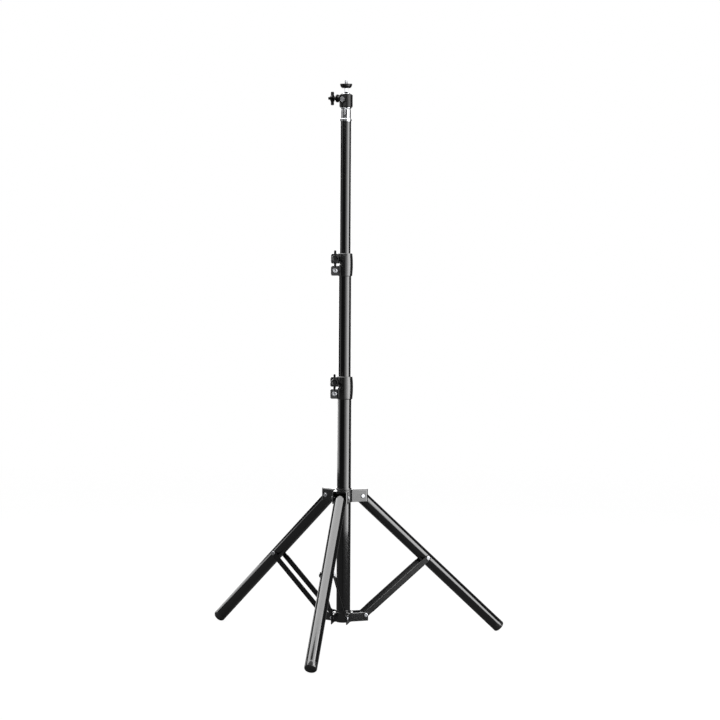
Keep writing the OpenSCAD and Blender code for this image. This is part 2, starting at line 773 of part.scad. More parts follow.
// Bowl-shaped plate, with a shallow recess round its screw
module head_plate() {
    plate_r = plate_d / 2;
    side_h = plate_t - plate_band;
    foot_in = plate_r - plate_foot_d / 2;
    side_r = (pow(side_h, 2) + pow(foot_in, 2)) / (2 * foot_in);
    color("#1d1e20") at_column(ball_z + plate_z) difference() {
        rotate_extrude() {
            intersection() {
                square([plate_r, side_h]);
                translate([plate_r - side_r, side_h]) circle(side_r);
            }
            translate([0, side_h]) square([plate_r, plate_band]);
        }
        translate([0, 0, -1]) cylinder(r = head_shank_d / 2, h = plate_t + 2);
        translate([0, 0, plate_t - screw_recess]) cylinder(r = screw_recess_d / 2, h = screw_recess + 1);
    }
}

// Screw whose plain shank passes through the head plate and stands on the stem
module head_screw() {
    color("#c9ccd0") at_column(ball_z + plate_z) {
        cylinder(r = head_shank_d / 2, h = plate_t);
        translate([0, 0, plate_t]) cylinder(r = head_screw_d / 2, h = head_screw_len);
    }
}

bottom_tube();
bottom_plug();
lower_hub();
lower_clamp();
lower_clamp_bolt();
lower_clamp_knob();
upper_hub();
hub_lock_knob();
middle_tube();
upper_clamp();
upper_clamp_bolt();
upper_clamp_knob();
top_tube();
spigot();
ball_housing();
friction_screw();
ball_lock_knob();
ball();
head_stem();
head_plate();
head_screw();

for (i = [0:len(LEGS) - 1]) {
    leg_pin(i);
    leg_top(i);
    leg_tube(i);
    foot(i);
    brace_rivets(i);
    brace_pivots(i);
    for (s = [0, 1])
        brace_bar(i, SIDES[s]);
}
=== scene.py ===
# %% [markdown]
# # A folding tripod stand with a telescopic mast
# The stand is a light one: three black tubes slide in each other and make the mast, and a moulded hub
# carries three legs that fold up against it. Two split clamps with wing knobs hold the tubes, and a small
# ball head with a quarter-inch screw sits on top. The exact solids come with the frame. This script gives
# them their finishes and models the small pieces that a plain solid leaves out.

# %% Load the fixed frame
import json
from math import cos, pi, radians, sin, tan

import bmesh
import bpy
from mathutils import Matrix, Vector


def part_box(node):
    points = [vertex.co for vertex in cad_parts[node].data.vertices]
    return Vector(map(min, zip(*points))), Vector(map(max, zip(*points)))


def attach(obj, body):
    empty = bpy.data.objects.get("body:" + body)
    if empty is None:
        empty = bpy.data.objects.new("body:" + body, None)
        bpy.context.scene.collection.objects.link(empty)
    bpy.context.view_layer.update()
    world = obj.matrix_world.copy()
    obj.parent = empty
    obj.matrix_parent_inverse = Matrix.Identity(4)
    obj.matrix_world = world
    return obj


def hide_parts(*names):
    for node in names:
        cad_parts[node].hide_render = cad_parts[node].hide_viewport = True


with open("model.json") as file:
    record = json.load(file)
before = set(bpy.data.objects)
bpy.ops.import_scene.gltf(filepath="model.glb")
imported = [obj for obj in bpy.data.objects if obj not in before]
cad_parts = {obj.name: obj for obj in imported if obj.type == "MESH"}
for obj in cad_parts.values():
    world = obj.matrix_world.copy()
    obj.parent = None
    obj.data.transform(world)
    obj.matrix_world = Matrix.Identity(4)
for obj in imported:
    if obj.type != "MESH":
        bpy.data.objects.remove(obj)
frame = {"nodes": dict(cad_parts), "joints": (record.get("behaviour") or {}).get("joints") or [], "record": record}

MM = 0.001
nodes = frame["nodes"]
scene = bpy.context.scene
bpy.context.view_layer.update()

# %% [markdown]
# ## Where things are
# Places come from the frame: the corners of a solid's box, or the line that a joint turns about. So the
# pieces on the mast follow when one of its tubes gets longer. The mast's axis is the centre line of its
# bottom tube.

# %% Places from the frame
LEGS = ["front", "right", "left"]
CLAMPS = {"lower": "mast_base", "upper": "middle_mast"}
joints = {joint["name"]: joint for joint in frame["joints"]}


def middle(name):
    """Centre of a solid's box."""
    low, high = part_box(name)
    return (low + high) / 2


def joint_frame(name, across):
    """Frame on a joint's line: +Z runs along the line, and +X lies as near as it can to a direction."""
    along = Vector(joints[name]["axis"]).normalized()
    side = Vector(across)
    side = (side - along * side.dot(along)).normalized()
    turn = Matrix((side, along.cross(side), along)).transposed().to_4x4()
    return Matrix.Translation(joints[name]["pos_m"]) @ turn


mast_axis = middle("bottom_tube")
mast_axis.z = 0
print("The mast stands at", [round(value / MM, 1) for value in mast_axis], "mm")

# %% [markdown]
# ## The camera
# The stand was photographed from far off with a long lens, so its upright lines stay parallel. The camera
# stands a little to the right of the front leg, at the height of the upper clamp, and looks slightly down.
# A pinch of roll levels the mast as in the photograph.

# %% Camera
EYE = Vector((756.5, -4117.8, 805.6)) * MM
TURN = radians(9.859)
LOOK_DOWN = radians(4.028)
ROLL = radians(0.344)
SENSOR_MM = 36
LENS_MM = 119.7

bpy.ops.object.camera_add()
camera = bpy.context.object
camera.data.sensor_width = SENSOR_MM
camera.data.lens = LENS_MM
camera.data.clip_end = 50
camera.matrix_world = (
    Matrix.Translation(EYE)
    @ Matrix.Rotation(TURN, 4, "Z")
    @ Matrix.Rotation(pi / 2 - LOOK_DOWN, 4, "X")
    @ Matrix.Rotation(ROLL, 4, "Z")
)
scene.camera = camera
scene.view_settings.view_transform = "Standard"
print("The camera stands", round((EYE - mast_axis).xy.length, 2), "m from the mast")

# %% [markdown]
# ## Colours and nodes
# Paint charts give a colour as a hex code, which is how a screen shows it. A renderer adds up light, so it
# needs the linear value, and one function does that for every colour here. One more function adds a node,
# sets its options and plugs in its links, which keeps the materials short enough to read.

# %% Colour and node helpers
def linear(code):
    """Linear red, green and blue with alpha, from a hex code such as #1c1d1f."""
    parts = [int(code[start:start + 2], 16) / 255 for start in (1, 3, 5)]
    return [part / 12.92 if part <= 0.04045 else ((part + 0.055) / 1.055) ** 2.4 for part in parts] + [1]


def add_node(tree, kind, inputs=None, **settings):
    """Adds a shader node, sets its options, and fills or links its inputs."""
    node = tree.nodes.new("ShaderNode" + kind)
    for option, value in settings.items():
        setattr(node, option, value)
    for socket, value in (inputs or {}).items():
        if isinstance(value, bpy.types.NodeSocket):
            tree.links.new(value, node.inputs[socket])
        else:
            node.inputs[socket].default_value = value
    return node


def per_mm(size):
    """Scale of a texture whose features are about this many millimetres wide."""
    return 1 / (size * MM)


def seen_by(tree):
    """Two values that are 1 for a ray from the camera, and for a ray that was mirrored or let through."""
    path = add_node(tree, "LightPath").outputs
    bounced = add_node(tree, "Math", {0: path["Is Glossy Ray"], 1: path["Is Transmission Ray"]},
                       operation="MAXIMUM")
    return path["Is Camera Ray"], bounced.outputs[0]


print("A mid grey of #808080 is", round(linear("#808080")[0], 3), "as light")


# %% [markdown]
# ## Room, floor and lamps
# Glossy black shows best before a white sheet in a dark room: the tubes stay nearly black where they mirror
# the room. The world is built that way. A camera ray finds white everywhere. A glossy or transmitted ray
# finds the white sheet behind the stand and dim grey walls elsewhere, with a soft edge between them. What
# the world sheds as soft light is even, so that no side of the stand is lost.

# %% World
SOFT_LIGHT = 0.42
ROOM_GREY = 0.04
TOWARDS_CAMERA = Vector((sin(TURN), -cos(TURN), 0))
SHEET_FROM, SHEET_TO = -0.97, -0.85

world = bpy.data.worlds.new("studio")
scene.world = world
world.use_nodes = True
tree = world.node_tree
tree.nodes.clear()
by_camera, bounced = seen_by(tree)
direction = add_node(tree, "TexCoord")
facing = add_node(tree, "VectorMath", {0: direction.outputs["Generated"], 1: TOWARDS_CAMERA},
                  operation="DOT_PRODUCT")
sheet = add_node(tree, "MapRange", {"Value": facing.outputs["Value"], "From Min": SHEET_FROM,
                                    "From Max": SHEET_TO, "To Min": 1, "To Max": ROOM_GREY},
                 interpolation_type="SMOOTHSTEP")
soft = add_node(tree, "Mix", {"Factor": bounced, 2: SOFT_LIGHT, 3: sheet.outputs[0]})
strength = add_node(tree, "Mix", {"Factor": by_camera, 2: soft.outputs[0], 3: 1.0})
sky = add_node(tree, "Background", {"Color": (1, 1, 1, 1), "Strength": strength.outputs[0]})
add_node(tree, "OutputWorld", {"Surface": sky.outputs[0]})
print("The world has", len(tree.nodes), "nodes")

# %% [markdown]
# The floor is pale paper. To the camera it adds a glow of its own, so that it comes out white where light
# falls on it and keeps a faint shadow under the feet. A mirror sees a little of that glow too. The paper
# turns clear towards its rim, so that no horizon shows.

# %% Floor
FLOOR_R = 3000
FLOOR_CLEAR_FROM = 1700
FLOOR_GLOW = 0.95
FLOOR_GLOW_MIRRORED = 0.03


def floor_paper():
    """Matt white paper that fades out with its distance from the stand."""
    material = bpy.data.materials.new("matt white paper")
    material.use_nodes = True
    tree = material.node_tree
    tree.nodes.clear()
    place = add_node(tree, "TexCoord")
    away = add_node(tree, "VectorMath", {0: place.outputs["Object"]}, operation="LENGTH")
    fade = add_node(tree, "MapRange", {"Value": away.outputs["Value"], "From Min": FLOOR_CLEAR_FROM * MM,
                                       "From Max": FLOOR_R * MM}, interpolation_type="SMOOTHSTEP")
    by_camera, bounced = seen_by(tree)
    in_mirrors = add_node(tree, "Mix", {"Factor": bounced, 2: 0.0, 3: FLOOR_GLOW_MIRRORED})
    glow = add_node(tree, "Mix", {"Factor": by_camera, 2: in_mirrors.outputs[0], 3: FLOOR_GLOW})
    paper = add_node(tree, "BsdfDiffuse", {"Color": linear("#404040")})
    light = add_node(tree, "Emission", {"Color": (1, 1, 1, 1), "Strength": glow.outputs[0]})
    lit = add_node(tree, "AddShader", {0: paper.outputs[0], 1: light.outputs[0]})
    clear = add_node(tree, "BsdfTransparent")
    surface = add_node(tree, "MixShader", {"Fac": fade.outputs[0], 1: lit.outputs[0], 2: clear.outputs[0]})
    add_node(tree, "OutputMaterial", {"Surface": surface.outputs[0]})
    return material


bpy.ops.mesh.primitive_circle_add(vertices=96, radius=FLOOR_R * MM, fill_type="NGON")
floor = bpy.context.object
floor.name = "floor"
floor.data.materials.append(floor_paper())
print("The floor is", round(floor.dimensions.x, 1), "m across")

# %% [markdown]
# Glossy black tubes show little but the lamps, so the lamps are placed by their reflections. A tall
# softbox on the right draws the bright line down the mast, and three dimmer ones nearer to the camera make
# the slow rise of grey before it. One on the left draws the faint line there. Two high ones reach the ball
# head, a low one on the left the left leg, and one behind lights the back. A wide panel overhead gives the
# front leg its broad light band.

# %% Lamps
LAMP_AWAY = 1300


def softbox(name, place, aim, size, brightness):
    """Flat lamp at a place, turned towards another. Sizes in millimetres, brightness as a mirror shows it."""
    bpy.ops.object.light_add(type="AREA")
    lamp = bpy.context.object
    lamp.name = name
    lamp.data.shape = "RECTANGLE"
    lamp.data.size, lamp.data.size_y = (side * MM for side in size)
    lamp.data.energy = brightness * pi * lamp.data.size * lamp.data.size_y
    lamp.location = Vector(place) * MM + mast_axis
    aim = Vector(aim) * MM + mast_axis - lamp.location
    lamp.rotation_euler = aim.to_track_quat("-Z", "Y").to_euler()
    lamp.visible_camera = False


def standing_softbox(name, aside, spread, low, high, brightness):
    """Upright lamp round the stand: degrees to the camera's right, degrees of half its width, two heights."""
    bearing = TURN - pi / 2 + radians(aside)
    middle_z = (low + high) / 2
    place = (cos(bearing) * LAMP_AWAY, sin(bearing) * LAMP_AWAY, middle_z)
    width = 2 * LAMP_AWAY * tan(radians(spread))
    softbox(name, place, (0, 0, middle_z), (width, high - low), brightness)


# Name, degrees aside, degrees of half its width, lower and upper end in millimetres, brightness
standing_softbox("right_softbox", 66, 16, 10, 1500, 4.4)
standing_softbox("right_glow", 41, 9, 10, 1400, 2.7)
standing_softbox("near_right_glow", 24, 8, 10, 970, 1.2)
standing_softbox("front_glow", 8, 8, 10, 970, 0.5)
standing_softbox("left_softbox", -86, 10, 150, 1500, 0.5)
standing_softbox("low_left_softbox", -122, 24, 150, 330, 1.5)
standing_softbox("high_left_softbox", -125, 28, 1000, 1500, 1.2)
standing_softbox("high_softbox", -28, 24, 1000, 1500, 2.0)
standing_softbox("back_softbox", 186, 16, 200, 1500, 1.5)
softbox("top_panel", (-100, 200, 1900), (-100, 200, 0), (4000, 1400), 3.4)

# %% [markdown]
# ## Finishes
# Nearly everything is black, so the finishes differ in how they shine. Enamel on the tubes is hard and
# wet looking, the moulded nylon is grained by its mould, the sheet metal bars are satin, and the small
# steel pieces are bright. Each function below starts from the real material and its process.

# %% Material helpers
def new_finish(name, colour, rough, **sockets):
    """A material with one Principled shader, which each finish then adds its pattern to."""
    material = bpy.data.materials.new(name)
    material.use_nodes = True
    tree = material.node_tree
    tree.nodes.clear()
    shader = add_node(tree, "BsdfPrincipled", {"Base Color": linear(colour), "Roughness": rough})
    for socket, value in sockets.items():
        shader.inputs[socket.replace("_", " ")].default_value = value
    add_node(tree, "OutputMaterial", {"Surface": shader.outputs[0]})
    return material, tree, shader


def blotches(tree, size_mm, drawn_out=(1, 1, 1), detail=2.0):
    """A value that wanders from 0 to 1 over this many millimetres, drawn out along an axis if over 1."""
    place = add_node(tree, "TexCoord")
    scale = [per_mm(size_mm) / along for along in drawn_out]
    mapped = add_node(tree, "Mapping", {"Vector": place.outputs["Object"], "Scale": scale})
    noise = add_node(tree, "TexNoise", {"Vector": mapped.outputs[0], "Scale": 1.0, "Detail": detail})
    return noise.outputs["Fac"]


def uneven_gloss(tree, shader, value, low, high):
    """Lets the roughness wander between two values."""
    rough = add_node(tree, "MapRange", {"Value": value, "From Min": 0.3, "From Max": 0.7, "To Min": low,
                                        "To Max": high})
    tree.links.new(rough.outputs[0], shader.inputs["Roughness"])


def raised_grain(tree, shader, value, depth_mm):
    """Raises the surface by up to this many millimetres where the value is high."""
    grain = add_node(tree, "Bump", {"Height": value, "Distance": depth_mm * MM})
    tree.links.new(grain.outputs[0], shader.inputs["Normal"])


# %% [markdown]
# ### Stove enamel on the tubes
# The tubes are thin steel, sprayed black, baked and lacquered. The lacquer is a second clear layer, so it
# is a coat on the shader. Baked enamel keeps a faint orange peel, about 2 mm from one dimple to the next,
# and sliding one tube in another leaves hairlines along it that show as a slight change of gloss.

# %% Stove enamel
def stove_enamel():
    material, tree, shader = new_finish("black stove enamel", "#040405", 0.18, Coat_Weight=1.0,
                                        Coat_Roughness=0.07, Coat_IOR=1.8, Specular_IOR_Level=0.2)
    raised_grain(tree, shader, blotches(tree, 2.2, detail=1.0), 0.0015)
    uneven_gloss(tree, shader, blotches(tree, 0.7, drawn_out=(1, 1, 60), detail=3.0), 0.14, 0.22)
    return material


# %% [markdown]
# ### Electro-dipped steel on the brace bars
# The bars are pressed from 1.2 mm strip and dipped, which leaves an even satin black. The rolled strip
# below it shows through as a fine grain, drawn here at 0.6 mm so that it can be seen at all.

# %% Electro-dip
def dipped_steel():
    material, tree, shader = new_finish("black electro-dipped steel", "#060607", 0.34)
    raised_grain(tree, shader, blotches(tree, 0.6, detail=4.0), 0.01)
    uneven_gloss(tree, shader, blotches(tree, 9.0), 0.28, 0.4)
    return material


# %% [markdown]
# ### Glass-filled nylon on the hubs and clamps
# Hubs and clamps are moulded nylon with chopped glass in it, which makes it stiff. The mould is spark
# eroded, so the surface has a fine even grain, and the glass gives it a cloudy sheen over a dull black.

# %% Glass-filled nylon
def glass_filled_nylon():
    material, tree, shader = new_finish("black glass-filled nylon", "#070708", 0.3, Coat_Weight=1.0,
                                        Coat_Roughness=0.14, Coat_IOR=1.9, Specular_IOR_Level=0.2)
    raised_grain(tree, shader, blotches(tree, 0.45), 0.012)
    uneven_gloss(tree, shader, blotches(tree, 6.0, detail=3.0), 0.26, 0.38)
    return material


# %% [markdown]
# ### ABS on the knobs
# The knobs are moulded ABS from a smoother mould. Fingers polish the high spots, so the gloss varies over
# a centimetre or so.

# %% ABS
def moulded_abs():
    material, tree, shader = new_finish("black moulded ABS", "#060607", 0.28)
    raised_grain(tree, shader, blotches(tree, 0.35), 0.008)
    uneven_gloss(tree, shader, blotches(tree, 7.0), 0.22, 0.36)
    return material


# %% [markdown]
# ### Rubber on the feet
# The caps are soft PVC. Their sides are smooth from the dipping mould, they never get quite black, and
# dust stays in their pores.

# %% Rubber
def foot_rubber():
    material, tree, shader = new_finish("black soft PVC", "#0a0a0b", 0.4, Coat_Weight=1.0,
                                        Coat_Roughness=0.1, Coat_IOR=1.75)
    dusty = add_node(tree, "MapRange", {"Value": blotches(tree, 1.6, detail=5.0), "From Min": 0.45,
                                        "From Max": 0.75})
    tint = add_node(tree, "Mix", {"Factor": dusty.outputs[0], 6: linear("#060607"), 7: linear("#0e0e0f")},
                    data_type="RGBA")
    tree.links.new(tint.outputs[2], shader.inputs["Base Color"])
    raised_grain(tree, shader, blotches(tree, 0.4), 0.015)
    return material


# %% [markdown]
# ### Black anodised aluminium on the ball head
# The housing and the plate are turned on a lathe and anodised. Anodising is a thin dyed layer in the metal
# itself, so it keeps a metallic sheen and the lathe's rings show through it as fine lines round the axis.

# %% Anodised aluminium
def anodised_aluminium():
    material, tree, shader = new_finish("black anodised aluminium", "#383838", 0.3, Metallic=1.0)
    rings = blotches(tree, 0.5, drawn_out=(60, 60, 1))
    raised_grain(tree, shader, rings, 0.006)
    uneven_gloss(tree, shader, rings, 0.26, 0.38)
    return material


# %% [markdown]
# ### Zinc and chrome
# Rivets, bolts and screws are steel with a bright zinc coat, slightly cloudy. The ball, its stem and the
# spigot are chromed: nearly a mirror, with only a breath of haze left by the polishing wheel.

# %% Zinc plate
def zinc_plate():
    material, tree, shader = new_finish("bright zinc plate", "#c6c8cc", 0.26, Metallic=1.0)
    clouds = blotches(tree, 1.6, detail=2.0)
    uneven_gloss(tree, shader, clouds, 0.3, 0.38)
    tint = add_node(tree, "Mix", {"Factor": clouds, 6: linear("#b9bbc0"), 7: linear("#d3d4d6")},
                    data_type="RGBA")
    tree.links.new(tint.outputs[2], shader.inputs["Base Color"])
    return material


# %% Chrome plate
def chrome_plate():
    material, tree, shader = new_finish("polished chrome plate", "#dcdee1", 0.06, Metallic=1.0)
    uneven_gloss(tree, shader, blotches(tree, 8.0, detail=1.0), 0.05, 0.08)
    return material


# %% [markdown]
# ## Dressing the solids
# The record says which slot each solid belongs to, and each slot has one finish. A solid keeps its mesh
# and only gets the material. Two look-ups made here serve every later piece: a node's slot and its body.

# %% Finish for each slot
finishes = {
    "black_tube": stove_enamel(),
    "black_brace": dipped_steel(),
    "hub_plastic": glass_filled_nylon(),
    "knob_plastic": moulded_abs(),
    "foot_rubber": foot_rubber(),
    "black_metal": anodised_aluminium(),
    "bright_steel": zinc_plate(),
    "chrome": chrome_plate(),
}
slot_of = {part["node"]: part["material_slot"] for part in frame["record"]["subparts"]}
body_of = {name: body for body, names in frame["record"]["behaviour"]["bodies"].items() for name in names}
for name, solid in nodes.items():
    for material_slot in solid.material_slots:
        material_slot.material = finishes[slot_of[name]]
print("Dressed", len(nodes), "solids in", len(finishes), "finishes")

# %% [markdown]
# ## Modelling helpers
# Every new piece is modelled at the origin, standing on the floor of its own frame with +Z along its
# screw or tube. Faces are chosen in code by where they lie, an operator shapes them, and at the end the
# mesh is moved to its place while the object itself stays at the origin.

# %% Modelling helpers
SHARP = radians(28)
SMOOTH_TO = radians(35)
SMOOTH_SKIN_TO = radians(40)


def begin(adder, **settings):
    """Adds a primitive with everything else deselected and opens it in edit mode."""
    bpy.ops.object.select_all(action="DESELECT")
    adder(**settings)
    bpy.ops.object.transform_apply(location=True, rotation=True, scale=True)
    bpy.ops.object.mode_set(mode="EDIT")
    return bpy.context.object


def choose(test):
    """Selects the faces of the open piece whose middle, in millimetres, and normal pass a test."""
    bpy.ops.mesh.select_all(action="DESELECT")
    mesh = bmesh.from_edit_mesh(bpy.context.object.data)
    chosen = [face for face in mesh.faces if test(face.calc_center_median() / MM, face.normal)]
    for face in chosen:
        face.select_set(True)
    bmesh.update_edit_mesh(bpy.context.object.data)
    return len(chosen)


def extrude(x=0.0, y=0.0, z=0.0):
    """Extrudes the chosen faces by a distance in millimetres."""
    bpy.ops.mesh.extrude_region_move(TRANSFORM_OT_translate={"value": Vector((x, y, z)) * MM})


def stretch(x=1.0, y=1.0, z=1.0, about=(0, 0, 0)):
    """Scales what is chosen about a point in millimetres."""
    bpy.ops.transform.resize(value=(x, y, z), center_override=Vector(about) * MM)


def inset(width, depth=0.0):
    """Insets the chosen faces by a width, and raises or sinks them by a depth."""
    bpy.ops.mesh.inset(thickness=width * MM, depth=depth * MM)


def close(rounding=0.0, steps=2):
    """Softens the sharp edges of the open piece and leaves edit mode."""
    if rounding:
        bpy.ops.mesh.select_all(action="DESELECT")
        bpy.ops.mesh.edges_select_sharp(sharpness=SHARP)
        bpy.ops.mesh.bevel(offset=rounding * MM, segments=steps, affect="EDGES")
    bpy.ops.object.mode_set(mode="OBJECT")


def put(piece, name, matrix, body, slot_name, replaced=()):
    """Names a piece, moves its mesh to its place, dresses it and lets it ride on its body."""
    piece.name = name
    piece.data.transform(matrix)
    piece.data.materials.clear()
    piece.data.materials.append(finishes[slot_name])
    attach(piece, body)
    if replaced:
        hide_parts(*replaced)
    return piece


def twin(master):
    """A copy of a piece with a mesh of its own."""
    copy = master.copy()
    copy.data = master.data.copy()
    scene.collection.objects.link(copy)
    return copy


def apply_modifier(piece, kind, **settings):
    """Adds a modifier with its settings and applies it at once."""
    modifier = piece.modifiers.new(kind.lower(), kind)
    for setting, value in settings.items():
        setattr(modifier, setting, value)
    bpy.ops.object.modifier_apply(modifier=modifier.name)


def join(master, other):
    """Makes two pieces one object with one mesh, and gives it back."""
    bpy.ops.object.select_all(action="DESELECT")
    master.select_set(True)
    other.select_set(True)
    bpy.context.view_layer.objects.active = master
    bpy.ops.object.join()
    return master


def size_of(piece):
    """Length, width and height of a piece in millimetres."""
    return [round(side / MM, 1) for side in piece.dimensions]


# %% [markdown]
# ## Softened edges
# A mould or a press leaves no knife edges, and the thin light lines along the real hubs are exactly those
# rounded edges. A solid's mesh is left alone, so each of these pieces is a copy: its loose triangles are
# welded, flat areas are joined, and a bevel that looks for sharp angles rounds what is left. The bevel would
# bend the light on the flat faces next to it, so at the end each corner takes its normal from the largest
# face that meets there.

# %% Soften the moulded and pressed pieces
WELD = 0.002
FLAT = radians(0.4)
BEVEL_STEPS = 2


def soften(name, width=0.0):
    """Lets a welded and smoothed copy stand for a solid, with its sharp edges rounded if a width is given."""
    bpy.ops.object.select_all(action="DESELECT")
    piece = bpy.data.objects.new(name + "_moulded", nodes[name].data.copy())
    scene.collection.objects.link(piece)
    bpy.context.view_layer.objects.active = piece
    piece.select_set(True)
    bpy.ops.mesh.customdata_custom_splitnormals_clear()
    bpy.ops.object.mode_set(mode="EDIT")
    bpy.ops.mesh.select_all(action="SELECT")
    bpy.ops.mesh.remove_doubles(threshold=WELD * MM)
    if width:
        bpy.ops.mesh.dissolve_limited(angle_limit=FLAT)
    bpy.ops.object.mode_set(mode="OBJECT")
    if width:
        apply_modifier(piece, "BEVEL", width=width * MM, segments=BEVEL_STEPS, limit_method="ANGLE",
                       angle_limit=SMOOTH_TO, use_clamp_overlap=False)
    bpy.ops.object.shade_smooth_by_angle(angle=SMOOTH_TO)
    apply_modifier(piece, "WEIGHTED_NORMAL", keep_sharp=True)
    return put(piece, name + "_moulded", Matrix.Identity(4), body_of[name], slot_of[name], [name])


soften("upper_hub", 0.3)
for name in ["lower_hub", "upper_clamp", "lower_clamp"]:
    soften(name, 0.5)
for leg in LEGS:
    for side in ("left", "right"):
        soften(leg + "_brace_" + side + "_bar", 0.25)
print("Softened the edges of the hubs, the clamps and the brace bars")

# %% [markdown]
# Tubes, pins and turned pieces are round, so their copies are welded and shaded smooth, with no bevel.

# %% Smooth the round pieces
ROUND_PIECES = ["bottom_tube", "middle_tube", "top_tube", "spigot", "ball_housing", "friction_screw", "ball",
                "head_stem", "head_plate"]
for leg in LEGS:
    ROUND_PIECES += [leg + end for end in ("_leg_top", "_leg_tube", "_leg_pin")]
    ROUND_PIECES += [leg + end for end in ("_brace_pivots", "_brace_rivets")]
for name in ROUND_PIECES:
    soften(name)
print("Smoothed", len(ROUND_PIECES), "round pieces")

# %% [markdown]
# ## Wing knobs
# A wing knob is moulded in one piece: a round head on a neck, and two wings that thin out towards their
# tips and stand a little above the head. It is modelled once, in the frame of its own screw with its wings
# along X, and the two clamps and the hub each get a copy.

# %% Wing knob
NECK_R, NECK_FROM = 5, 0.3
HEAD_R, HEAD_FROM, HEAD_TO = 6.5, 9.5, 20.5
RIM, DISH_EDGE, DISH_DEPTH = 1.8, 1.0, 0.8
# Each step of a wing: how far out, how far up, and what share of its width and height is left
WING_STEPS = [(4.0, 0.0, 0.86, 0.74), (3.6, 1.9, 0.92, 0.9), (1.4, 1.2, 0.8, 0.8)]

knob = begin(bpy.ops.mesh.primitive_cylinder_add, vertices=16, radius=HEAD_R * MM,
             depth=(HEAD_TO - HEAD_FROM) * MM, location=(0, 0, (HEAD_FROM + HEAD_TO) / 2 * MM))
for side in (-1, 1):
    wing_x, wing_z = side * HEAD_R, (HEAD_FROM + HEAD_TO) / 2
    choose(lambda at, normal: normal.x * side > 0.9)
    for out, up, narrower, lower in WING_STEPS:
        extrude(x=side * out, z=up)
        wing_x, wing_z = wing_x + side * out, wing_z + up
        stretch(y=narrower, z=lower, about=(wing_x, 0, wing_z))
choose(lambda at, normal: normal.z < -0.99 and abs(at.x) < 1)
inset(HEAD_R - NECK_R)
extrude(z=NECK_FROM - HEAD_FROM)
choose(lambda at, normal: normal.z > 0.99 and abs(at.x) < 1)
inset(RIM)
inset(DISH_EDGE, depth=-DISH_DEPTH)
close(rounding=0.5)
apply_modifier(knob, "SUBSURF", levels=2, render_levels=2)
bpy.ops.object.shade_smooth_by_angle(angle=SMOOTH_SKIN_TO)
print("The wing knob is", size_of(knob), "mm")

# %% Place the wing knobs
UPRIGHT = (0, 0, 1)
SLANTED = (1, 0, -1)
for name, across in (("lower", UPRIGHT), ("upper", UPRIGHT), ("hub", SLANTED)):
    node = "hub_lock_knob" if name == "hub" else name + "_clamp_knob"
    put(twin(knob), name + "_wing_knob", joint_frame(name + "_knob_turn", across), name + "_knob",
        "knob_plastic", [node])
    print(name, "wing knob stands for", node)
bpy.data.objects.remove(knob)

# %% [markdown]
# ## Threads
# A rolled thread is a ridge that winds round a plain core. The ridge starts as one triangle and the Screw
# modifier winds it up by one pitch a turn. The core is a cylinder whose two ends step in by a part of the
# pitch, and the ridge dips a little into it.

# %% Threaded screw
THREAD_DEPTH, RIDGE_R, END_EDGE, END_RISE = 0.6, 0.55, 0.4, 0.3
STEPS_A_TURN = 24


def threaded_screw(name, radius, pitch, low, high, matrix, body):
    """Screw with a real thread between two heights of its own frame. Its details are shares of the pitch."""
    root = radius - pitch * THREAD_DEPTH
    core = begin(bpy.ops.mesh.primitive_cylinder_add, vertices=32, radius=root * MM,
                 depth=(high - low) * MM, location=(0, 0, (low + high) / 2 * MM))
    for end in (-1, 1):
        choose(lambda at, normal: normal.z * end > 0.99)
        inset(pitch * END_EDGE)
        extrude(z=end * pitch * END_RISE)
    close()
    turns = int((high - low) / pitch) - 1
    ridge_r = pitch * RIDGE_R
    ridge = begin(bpy.ops.mesh.primitive_circle_add, vertices=3, radius=ridge_r * MM, fill_type="NGON",
                  rotation=(pi / 2, pi / 2, 0), location=Vector((radius - ridge_r, 0, low + pitch)) * MM)
    bpy.ops.mesh.delete(type="ONLY_FACE")
    bpy.ops.object.mode_set(mode="OBJECT")
    apply_modifier(ridge, "SCREW", axis="Z", screw_offset=pitch * MM, iterations=turns, steps=STEPS_A_TURN,
                   render_steps=STEPS_A_TURN)
    bpy.ops.object.mode_set(mode="EDIT")
    bpy.ops.mesh.select_all(action="SELECT")
    bpy.ops.mesh.fill_holes(sides=3)
    bpy.ops.mesh.normals_make_consistent(inside=False)
    bpy.ops.object.mode_set(mode="OBJECT")
    print(name, "thread:", len(ridge.data.polygons), "faces,", turns, "turns")
    return put(join(core, ridge), name, matrix, body, "bright_steel")


# %% [markdown]
# The head's screw is a quarter-inch one with 20 threads to the inch, so its pitch is 1.27 mm. It stands
# in the plate's recess, and its narrower end takes up the last 0.4 mm. The knobs have 5 mm screws with a
# pitch of 0.8 mm, whose ends show behind the clamps.

# %% Screws
HEAD_SCREW_R, HEAD_SCREW_PITCH, RECESS, HEAD_SCREW_END = 3.175, 1.27, 0.7, 0.4
KNOB_SCREW_R, KNOB_SCREW_PITCH, KNOB_SCREW_FROM, KNOB_SCREW_TO = 2.5, 0.8, -17.7, 4
plate_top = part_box("head_plate")[1].z
screw_top = (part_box("head_screw")[1].z - plate_top) / MM
threaded_screw("head_thread", HEAD_SCREW_R, HEAD_SCREW_PITCH, -RECESS, screw_top - HEAD_SCREW_END,
               Matrix.Translation(mast_axis + Vector((0, 0, plate_top))), "head")
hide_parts("head_screw")
for name in ("lower", "upper"):
    threaded_screw(name + "_knob_screw", KNOB_SCREW_R, KNOB_SCREW_PITCH, KNOB_SCREW_FROM, KNOB_SCREW_TO,
                   joint_frame(name + "_knob_turn", UPRIGHT), name + "_knob")

# %% [markdown]
# ## Pinch bolts
# The bolt through each clamp's lower ears has a domed head with a small socket, which is drawn round, and a
# hexagon nut with chamfered corners behind. Head, shank and nut are modelled in the bolt's own frame, with
# the head's face towards +Z and the ears between 0 and -14 mm.

